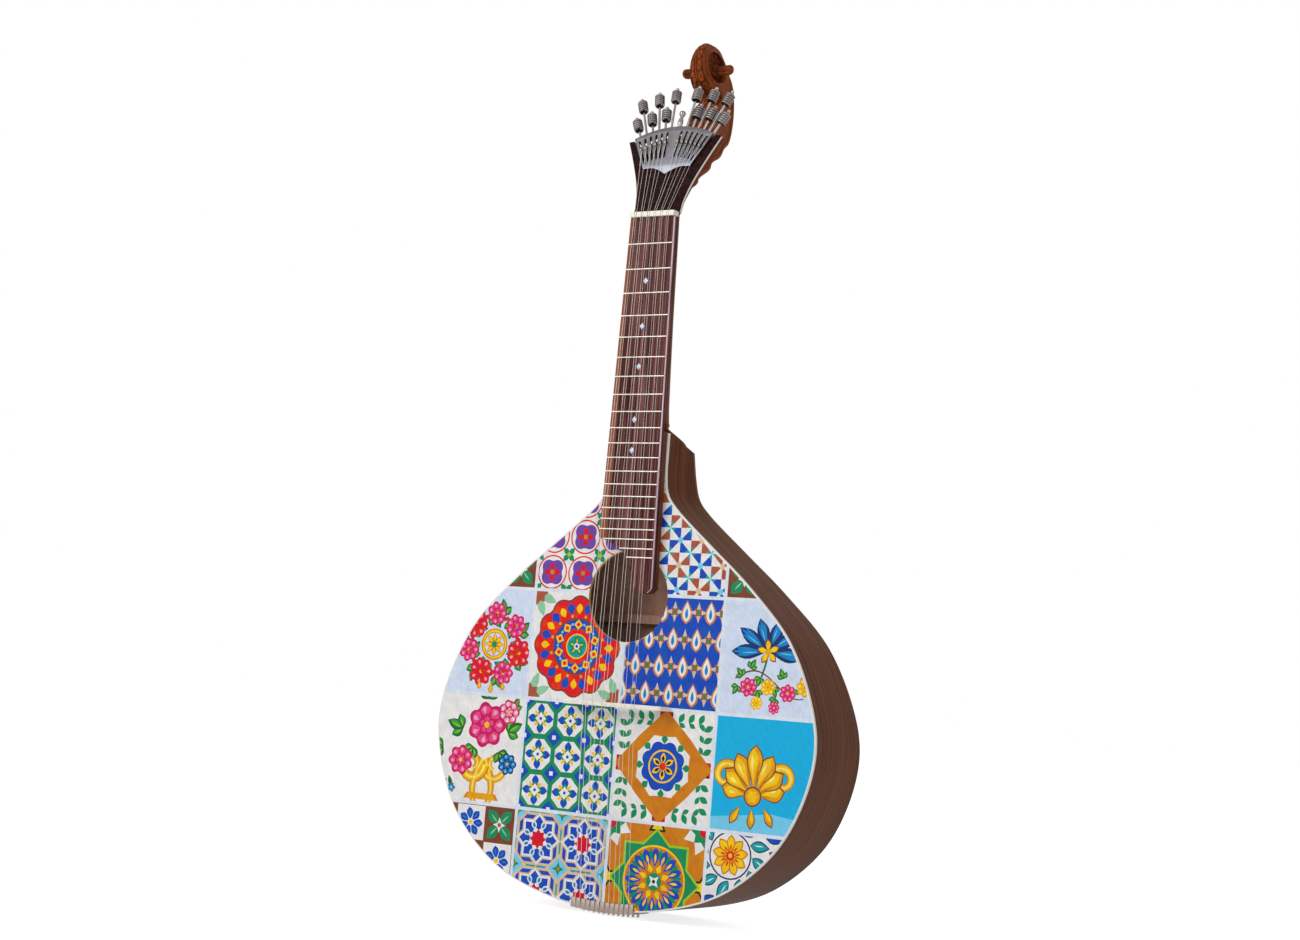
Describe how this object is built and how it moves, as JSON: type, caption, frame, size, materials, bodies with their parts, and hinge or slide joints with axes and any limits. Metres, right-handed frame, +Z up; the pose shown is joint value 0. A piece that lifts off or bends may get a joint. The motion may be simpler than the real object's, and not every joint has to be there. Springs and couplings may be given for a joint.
{
  "type": "portuguese guitar",
  "caption": "Pear-shaped hollow plucked instrument with a raised fretted fingerboard, a fan-shaped screw tuner and a carved scroll on its leaning head.",
  "frame": {"origin": "on the centre line at the nut's front edge, in the plane of the fret tops", "axes": "+Z up the neck towards the head, -Y out of the soundboard, +X towards the thin treble strings"},
  "size_m": [0.3906, 0.1196, 0.8083],
  "materials": {
    "printed_soundboard": "spruce plate under a printed patchwork of tile patterns, glossy varnish",
    "cream_binding": "cream edging, satin",
    "walnut": "dark figured walnut, gloss lacquer",
    "mahogany": "red-brown mahogany, satin lacquer",
    "rosewood": "striped rosewood, oiled",
    "spruce": "unfinished spruce",
    "bone": "polished bone",
    "nickel_silver": "brushed nickel silver",
    "string_steel": "bare and wound steel wire"
  },
  "bodies": {
    "guitar": {"soundboard": "printed_soundboard", "top_binding": "cream_binding", "rib_bass": "walnut", "rib_treble": "walnut", "back_plate": "walnut", "top_lining": "spruce", "back_lining": "spruce", "top_brace_upper": "spruce", "top_brace_lower": "spruce", "back_brace_upper": "spruce", "back_brace_lower": "spruce", "neck_block": "mahogany", "tail_block": "mahogany", "bridge": "bone", "tail_comb": "nickel_silver", "fingerboard": "rosewood", "nut": "bone", "neck": "mahogany", "head_block": "mahogany", "head_veneer": "rosewood", "head_binding": "cream_binding", "scroll": "mahogany", "fan_plate": "nickel_silver", "finial": "nickel_silver", "string_01": "string_steel", "string_02": "string_steel", "string_03": "string_steel", "string_04": "string_steel", "string_05": "string_steel", "string_06": "string_steel", "string_07": "string_steel", "string_08": "string_steel", "string_09": "string_steel", "string_10": "string_steel", "string_11": "string_steel", "string_12": "string_steel"},
    "knob_01": {"tuner_screw_01": "nickel_silver"},
    "hook_01": {"string_hook_01": "nickel_silver"},
    "knob_02": {"tuner_screw_02": "nickel_silver"},
    "hook_02": {"string_hook_02": "nickel_silver"},
    "knob_03": {"tuner_screw_03": "nickel_silver"},
    "hook_03": {"string_hook_03": "nickel_silver"},
    "knob_04": {"tuner_screw_04": "nickel_silver"},
    "hook_04": {"string_hook_04": "nickel_silver"},
    "knob_05": {"tuner_screw_05": "nickel_silver"},
    "hook_05": {"string_hook_05": "nickel_silver"},
    "knob_06": {"tuner_screw_06": "nickel_silver"},
    "hook_06": {"string_hook_06": "nickel_silver"},
    "knob_07": {"tuner_screw_07": "nickel_silver"},
    "hook_07": {"string_hook_07": "nickel_silver"},
    "knob_08": {"tuner_screw_08": "nickel_silver"},
    "hook_08": {"string_hook_08": "nickel_silver"},
    "knob_09": {"tuner_screw_09": "nickel_silver"},
    "hook_09": {"string_hook_09": "nickel_silver"},
    "knob_10": {"tuner_screw_10": "nickel_silver"},
    "hook_10": {"string_hook_10": "nickel_silver"},
    "knob_11": {"tuner_screw_11": "nickel_silver"},
    "hook_11": {"string_hook_11": "nickel_silver"},
    "knob_12": {"tuner_screw_12": "nickel_silver"},
    "hook_12": {"string_hook_12": "nickel_silver"}
  },
  "joints": [
    {"name": "knob_turn_01", "type": "hinge", "parent": "guitar", "child": "knob_01", "pos_m": [-0.03775, 0.0316, 0.08165], "axis": [-0.4195, 0.2502, 0.8726], "range_deg": [-7200, 7200]},
    {"name": "hook_slide_01", "type": "slide", "parent": "guitar", "child": "hook_01", "axis": [-0.4195, 0.2502, 0.8726], "range_m": [-0.0092, 0.0092], "deforming": ["string_01"]},
    {"name": "knob_turn_02", "type": "hinge", "parent": "guitar", "child": "knob_02", "pos_m": [-0.03203, 0.03226, 0.08397], "axis": [-0.3559, 0.2576, 0.8983], "range_deg": [-7200, 7200]},
    {"name": "hook_slide_02", "type": "slide", "parent": "guitar", "child": "hook_02", "axis": [-0.3559, 0.2576, 0.8983], "range_m": [-0.0092, 0.0092], "deforming": ["string_02"]},
    {"name": "knob_turn_03", "type": "hinge", "parent": "guitar", "child": "knob_03", "pos_m": [-0.02616, 0.03281, 0.08589], "axis": [-0.2907, 0.2637, 0.9197], "range_deg": [-7200, 7200]},
    {"name": "hook_slide_03", "type": "slide", "parent": "guitar", "child": "hook_03", "axis": [-0.2907, 0.2637, 0.9197], "range_m": [-0.0092, 0.0092], "deforming": ["string_03"]},
    {"name": "knob_turn_04", "type": "hinge", "parent": "guitar", "child": "knob_04", "pos_m": [-0.02017, 0.03325, 0.08743], "axis": [-0.2241, 0.2686, 0.9368], "range_deg": [-7200, 7200]},
    {"name": "hook_slide_04", "type": "slide", "parent": "guitar", "child": "hook_04", "axis": [-0.2241, 0.2686, 0.9368], "range_m": [-0.0092, 0.0092], "deforming": ["string_04"]},
    {"name": "knob_turn_05", "type": "hinge", "parent": "guitar", "child": "knob_05", "pos_m": [-0.01408, 0.03358, 0.08857], "axis": [-0.1564, 0.2722, 0.9494], "range_deg": [-7200, 7200]},
    {"name": "hook_slide_05", "type": "slide", "parent": "guitar", "child": "hook_05", "axis": [-0.1564, 0.2722, 0.9494], "range_m": [-0.0092, 0.0092], "deforming": ["string_05"]},
    {"name": "knob_turn_06", "type": "hinge", "parent": "guitar", "child": "knob_06", "pos_m": [-0.00792, 0.03379, 0.0893], "axis": [-0.088, 0.2746, 0.9575], "range_deg": [-7200, 7200]},
    {"name": "hook_slide_06", "type": "slide", "parent": "guitar", "child": "hook_06", "axis": [-0.088, 0.2746, 0.9575], "range_m": [-0.0092, 0.0092], "deforming": ["string_06"]},
    {"name": "knob_turn_07", "type": "hinge", "parent": "guitar", "child": "knob_07", "pos_m": [0.00792, 0.03379, 0.0893], "axis": [0.088, 0.2746, 0.9575], "range_deg": [-7200, 7200]},
    {"name": "hook_slide_07", "type": "slide", "parent": "guitar", "child": "hook_07", "axis": [0.088, 0.2746, 0.9575], "range_m": [-0.0092, 0.0092], "deforming": ["string_07"]},
    {"name": "knob_turn_08", "type": "hinge", "parent": "guitar", "child": "knob_08", "pos_m": [0.01408, 0.03358, 0.08857], "axis": [0.1564, 0.2722, 0.9494], "range_deg": [-7200, 7200]},
    {"name": "hook_slide_08", "type": "slide", "parent": "guitar", "child": "hook_08", "axis": [0.1564, 0.2722, 0.9494], "range_m": [-0.0092, 0.0092], "deforming": ["string_08"]},
    {"name": "knob_turn_09", "type": "hinge", "parent": "guitar", "child": "knob_09", "pos_m": [0.02017, 0.03325, 0.08743], "axis": [0.2241, 0.2686, 0.9368], "range_deg": [-7200, 7200]},
    {"name": "hook_slide_09", "type": "slide", "parent": "guitar", "child": "hook_09", "axis": [0.2241, 0.2686, 0.9368], "range_m": [-0.0092, 0.0092], "deforming": ["string_09"]},
    {"name": "knob_turn_10", "type": "hinge", "parent": "guitar", "child": "knob_10", "pos_m": [0.02616, 0.03281, 0.08589], "axis": [0.2907, 0.2637, 0.9197], "range_deg": [-7200, 7200]},
    {"name": "hook_slide_10", "type": "slide", "parent": "guitar", "child": "hook_10", "axis": [0.2907, 0.2637, 0.9197], "range_m": [-0.0092, 0.0092], "deforming": ["string_10"]},
    {"name": "knob_turn_11", "type": "hinge", "parent": "guitar", "child": "knob_11", "pos_m": [0.03203, 0.03226, 0.08397], "axis": [0.3559, 0.2576, 0.8983], "range_deg": [-7200, 7200]},
    {"name": "hook_slide_11", "type": "slide", "parent": "guitar", "child": "hook_11", "axis": [0.3559, 0.2576, 0.8983], "range_m": [-0.0092, 0.0092], "deforming": ["string_11"]},
    {"name": "knob_turn_12", "type": "hinge", "parent": "guitar", "child": "knob_12", "pos_m": [0.03775, 0.0316, 0.08165], "axis": [0.4195, 0.2502, 0.8726], "range_deg": [-7200, 7200]},
    {"name": "hook_slide_12", "type": "slide", "parent": "guitar", "child": "hook_12", "axis": [0.4195, 0.2502, 0.8726], "range_m": [-0.0092, 0.0092], "deforming": ["string_12"]}
  ],
  "couplings": [
    {"joint": "hook_slide_01", "follows": "knob_turn_01", "m_per_rad": -0.00007162},
    {"joint": "hook_slide_02", "follows": "knob_turn_02", "m_per_rad": -0.00007162},
    {"joint": "hook_slide_03", "follows": "knob_turn_03", "m_per_rad": -0.00007162},
    {"joint": "hook_slide_04", "follows": "knob_turn_04", "m_per_rad": -0.00007162},
    {"joint": "hook_slide_05", "follows": "knob_turn_05", "m_per_rad": -0.00007162},
    {"joint": "hook_slide_06", "follows": "knob_turn_06", "m_per_rad": -0.00007162},
    {"joint": "hook_slide_07", "follows": "knob_turn_07", "m_per_rad": -0.00007162},
    {"joint": "hook_slide_08", "follows": "knob_turn_08", "m_per_rad": -0.00007162},
    {"joint": "hook_slide_09", "follows": "knob_turn_09", "m_per_rad": -0.00007162},
    {"joint": "hook_slide_10", "follows": "knob_turn_10", "m_per_rad": -0.00007162},
    {"joint": "hook_slide_11", "follows": "knob_turn_11", "m_per_rad": -0.00007162},
    {"joint": "hook_slide_12", "follows": "knob_turn_12", "m_per_rad": -0.00007162}
  ]
}
